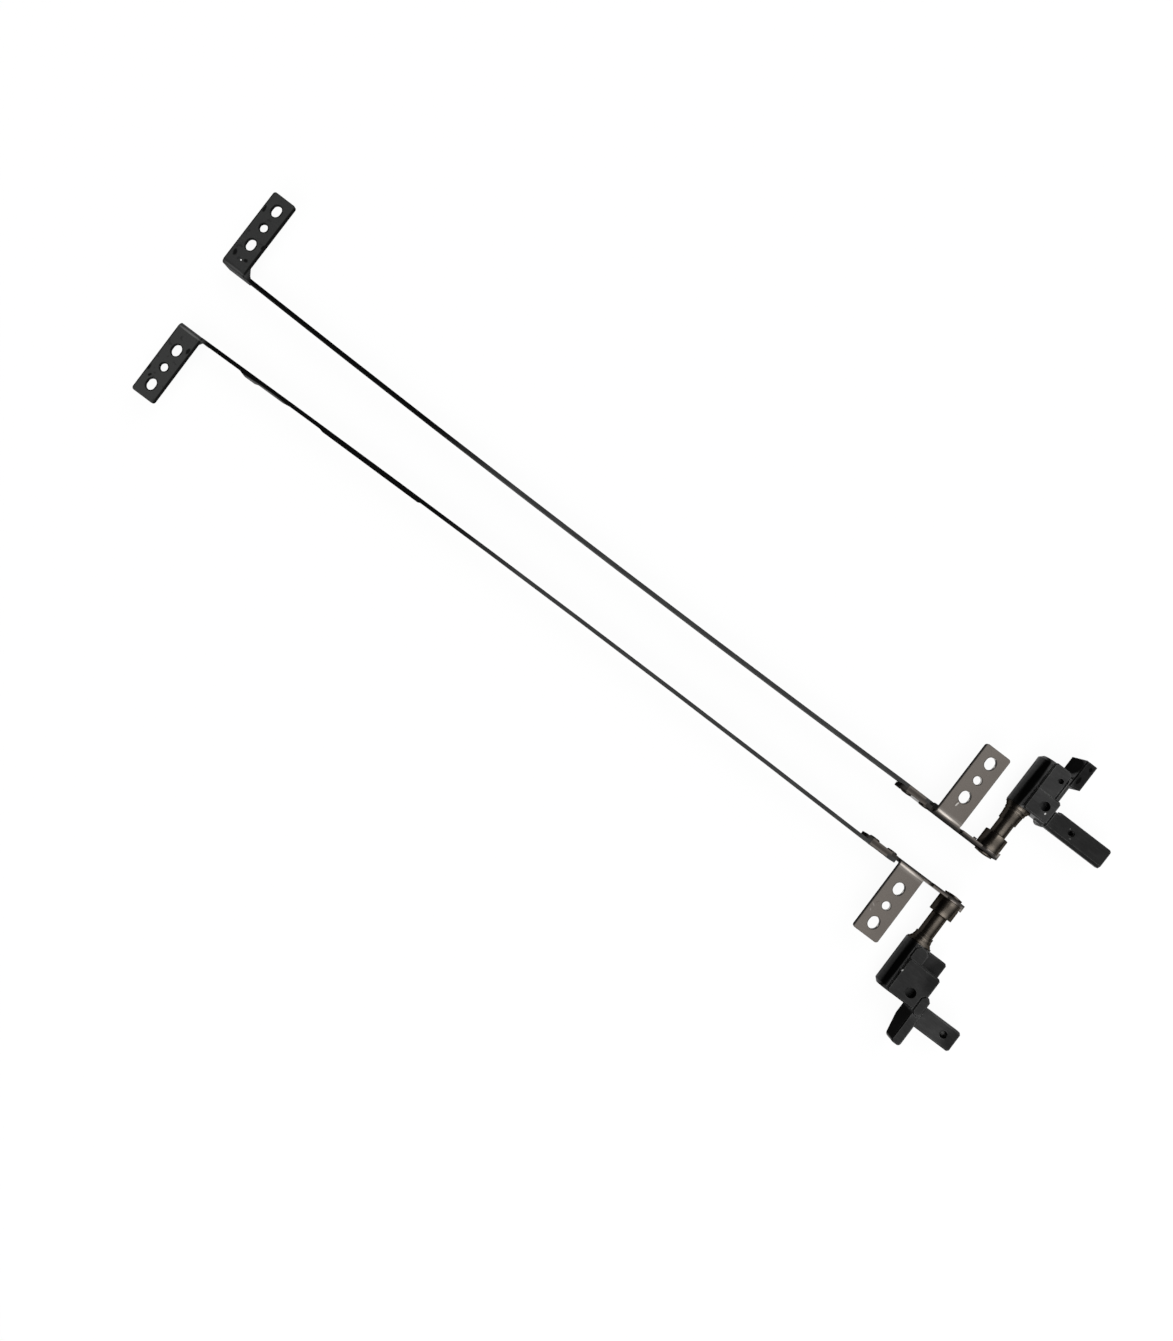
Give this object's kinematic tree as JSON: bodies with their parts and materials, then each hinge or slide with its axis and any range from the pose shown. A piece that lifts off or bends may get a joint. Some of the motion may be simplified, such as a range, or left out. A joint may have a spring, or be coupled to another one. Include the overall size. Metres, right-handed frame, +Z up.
{
  "type": "laptop hinge pair",
  "caption": "Left and right laptop screen hinges with long panel rails, folded slotted tabs, friction shafts and black cast housings, opened flat.",
  "frame": {"origin": "on the table under the middle of the pair's outline", "axes": "+X along the rails towards the hinge end, +Z up towards the face with the tabs, +Y towards the right hinge"},
  "size_m": [0.2542, 0.081, 0.0082],
  "materials": {
    "black_rail": "satin",
    "gunmetal": "satin black nickel",
    "rivet_steel": "satin",
    "shaft_steel": "turned",
    "spring_steel": "greased",
    "cast_black": "matte"
  },
  "bodies": {
    "base": {"left_friction_clip_1": "spring_steel", "left_friction_clip_2": "spring_steel", "left_housing": "cast_black", "left_mouth_bush": "shaft_steel", "left_thrust_washer": "shaft_steel", "right_friction_clip_1": "spring_steel", "right_friction_clip_2": "spring_steel", "right_housing": "cast_black", "right_mouth_bush": "shaft_steel", "right_thrust_washer": "shaft_steel"},
    "right_arm": {"right_rail": "black_rail", "right_bracket": "gunmetal", "right_lap_rivets": "rivet_steel", "right_shaft": "shaft_steel", "right_collar": "shaft_steel", "right_retaining_ring": "spring_steel"},
    "left_arm": {"left_rail": "black_rail", "left_bracket": "gunmetal", "left_lap_rivets": "rivet_steel", "left_shaft": "shaft_steel", "left_collar": "shaft_steel", "left_retaining_ring": "spring_steel"}
  },
  "joints": [
    {"name": "right_fold", "type": "hinge", "parent": "base", "child": "right_arm", "pos_m": [0.10345, 0.00874, 0.0039], "axis": [0, -1, 0], "range_deg": [0, 180]},
    {"name": "left_fold", "type": "hinge", "parent": "base", "child": "left_arm", "pos_m": [0.10425, -0.00461, 0.0039], "axis": [0.0096, -1, 0], "range_deg": [0, 180]}
  ]
}
